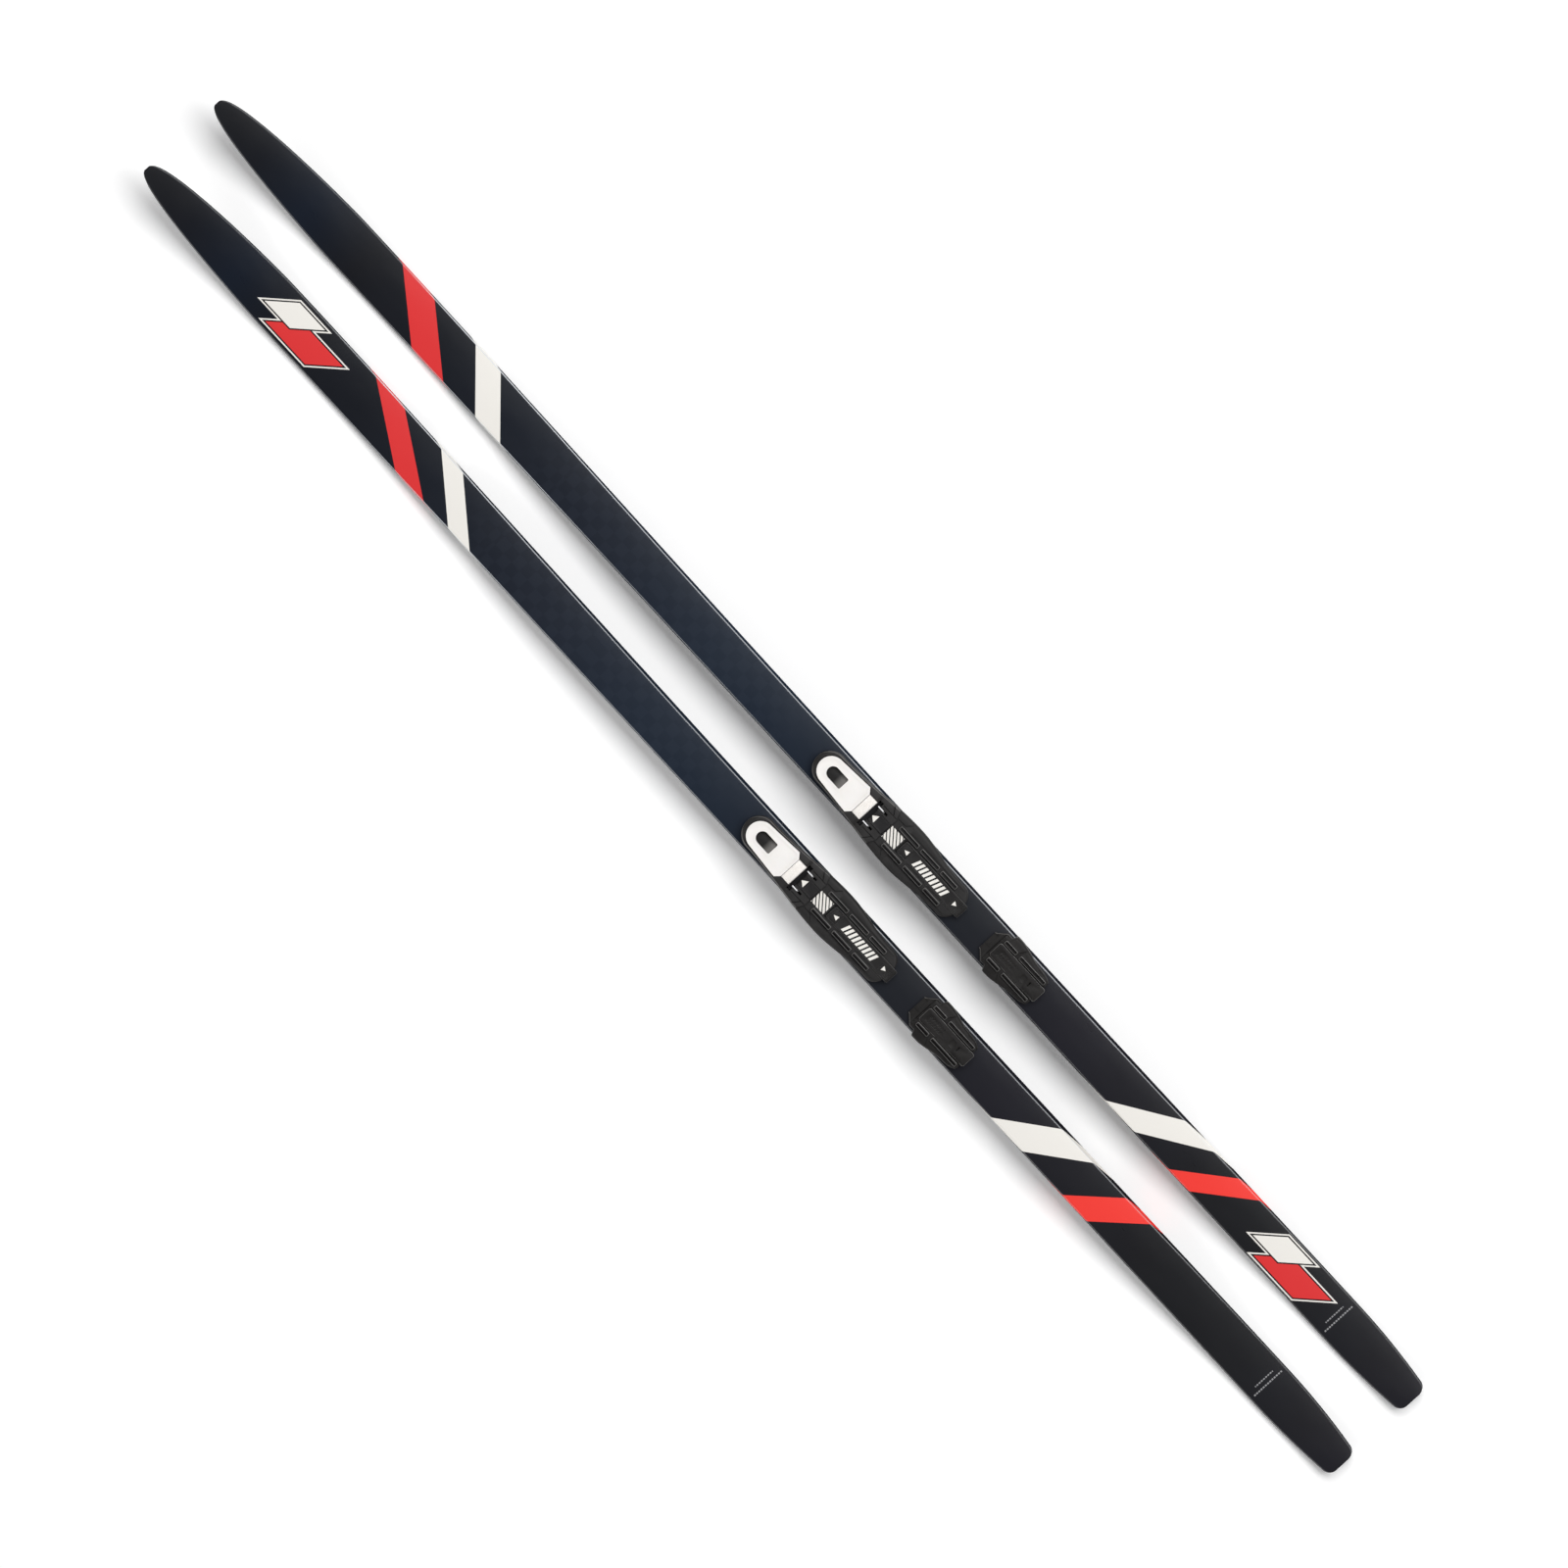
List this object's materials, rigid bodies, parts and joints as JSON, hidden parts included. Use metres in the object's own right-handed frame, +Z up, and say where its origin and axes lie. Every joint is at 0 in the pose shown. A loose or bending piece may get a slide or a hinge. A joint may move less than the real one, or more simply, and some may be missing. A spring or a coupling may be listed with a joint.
{
  "type": "pair of cross-country skis",
  "caption": "Pair of narrow cambered cross-country skis with upturned tips, step-in toe bindings with a white release lever, and ridged heel plates.",
  "frame": {"origin": "midway between the two skis and between tips and tails, on the snow that the bases touch", "axes": "+X towards the tips, +Y to the skier's left, +Z up"},
  "size_m": [1.84, 0.155, 0.0642],
  "materials": {
    "topsheet": "glossy dark navy printed top sheet with red and white slanted stripes",
    "base": "sintered polyethylene running base with a fine structure and a waxless grip zone",
    "laminate": "glass-fibre laminate",
    "core": "light wood core with air channels",
    "spacer": "moulded plastic filler",
    "binding_black": "black glass-filled nylon with a fine moulded grain",
    "lever_white": "warm white moulded plastic, satin",
    "flexor_rubber": "warm white ribbed rubber",
    "steel": "zinc-plated steel"
  },
  "bodies": {
    "left_ski": {"left_base_sole": "base", "left_lower_laminate": "laminate", "left_core": "core", "left_tip_spacer": "spacer", "left_tail_spacer": "spacer", "left_upper_laminate": "laminate", "left_cap": "topsheet", "left_mounting_plate": "binding_black", "left_footplate": "binding_black", "left_toe_housing": "binding_black", "left_lever_pin": "steel", "left_lever_spring": "steel", "left_flexor": "flexor_rubber", "left_bar_bracket": "steel", "left_hook_pin": "steel", "left_toe_screw_1": "steel", "left_toe_screw_2": "steel", "left_toe_screw_3": "steel", "left_toe_screw_4": "steel", "left_heel_base": "binding_black", "left_heel_pad": "binding_black", "left_heel_cover": "binding_black", "left_heel_screw_1": "steel", "left_heel_screw_2": "steel"},
    "left_center_slider": {"left_center_slider": "binding_black"},
    "left_lock_tab": {"left_lock_tab": "binding_black"},
    "left_release_lever": {"left_release_lever": "lever_white", "left_lever_insert": "binding_black"},
    "left_toe_bar_hook": {"left_toe_bar_hook": "steel"},
    "right_ski": {"right_base_sole": "base", "right_lower_laminate": "laminate", "right_core": "core", "right_tip_spacer": "spacer", "right_tail_spacer": "spacer", "right_upper_laminate": "laminate", "right_cap": "topsheet", "right_mounting_plate": "binding_black", "right_footplate": "binding_black", "right_toe_housing": "binding_black", "right_lever_pin": "steel", "right_lever_spring": "steel", "right_flexor": "flexor_rubber", "right_bar_bracket": "steel", "right_hook_pin": "steel", "right_toe_screw_1": "steel", "right_toe_screw_2": "steel", "right_toe_screw_3": "steel", "right_toe_screw_4": "steel", "right_heel_base": "binding_black", "right_heel_pad": "binding_black", "right_heel_cover": "binding_black", "right_heel_screw_1": "steel", "right_heel_screw_2": "steel"},
    "right_center_slider": {"right_center_slider": "binding_black"},
    "right_lock_tab": {"right_lock_tab": "binding_black"},
    "right_release_lever": {"right_release_lever": "lever_white", "right_lever_insert": "binding_black"},
    "right_toe_bar_hook": {"right_toe_bar_hook": "steel"}
  },
  "joints": [
    {"name": "left_lever_press", "type": "hinge", "parent": "left_ski", "child": "left_release_lever", "pos_m": [-0.06, 0.05, 0.0565], "axis": [0, 1, 0], "range_deg": [0, 8], "stiffness_Nm_per_rad": 0.4, "springref_deg": -5.73},
    {"name": "left_hook_open", "type": "hinge", "parent": "left_ski", "child": "left_toe_bar_hook", "pos_m": [-0.091, 0.05, 0.0505], "axis": [0, 1, 0], "range_deg": [-24, 0]},
    {"name": "left_slider_travel", "type": "slide", "parent": "left_ski", "child": "left_center_slider", "axis": [1, 0, 0], "range_m": [-0.008, 0]},
    {"name": "left_lock_press", "type": "slide", "parent": "left_ski", "child": "left_lock_tab", "axis": [0, 0, 1], "range_m": [-0.0015, 0], "stiffness_N_per_m": 300, "springref_m": 0.0015},
    {"name": "right_lever_press", "type": "hinge", "parent": "right_ski", "child": "right_release_lever", "pos_m": [-0.06, -0.05, 0.0565], "axis": [0, 1, 0], "range_deg": [0, 8], "stiffness_Nm_per_rad": 0.4, "springref_deg": -5.73},
    {"name": "right_hook_open", "type": "hinge", "parent": "right_ski", "child": "right_toe_bar_hook", "pos_m": [-0.091, -0.05, 0.0505], "axis": [0, 1, 0], "range_deg": [-24, 0]},
    {"name": "right_slider_travel", "type": "slide", "parent": "right_ski", "child": "right_center_slider", "axis": [1, 0, 0], "range_m": [-0.008, 0]},
    {"name": "right_lock_press", "type": "slide", "parent": "right_ski", "child": "right_lock_tab", "axis": [0, 0, 1], "range_m": [-0.0015, 0], "stiffness_N_per_m": 300, "springref_m": 0.0015},
    {"name": "right_ski_glide", "type": "slide", "parent": "left_ski", "child": "right_ski", "axis": [1, 0, 0], "range_m": [-0.4, 0.4]}
  ],
  "couplings": [
    {"joint": "left_hook_open", "follows": "left_lever_press", "ratio": -3},
    {"joint": "right_hook_open", "follows": "right_lever_press", "ratio": -3}
  ]
}
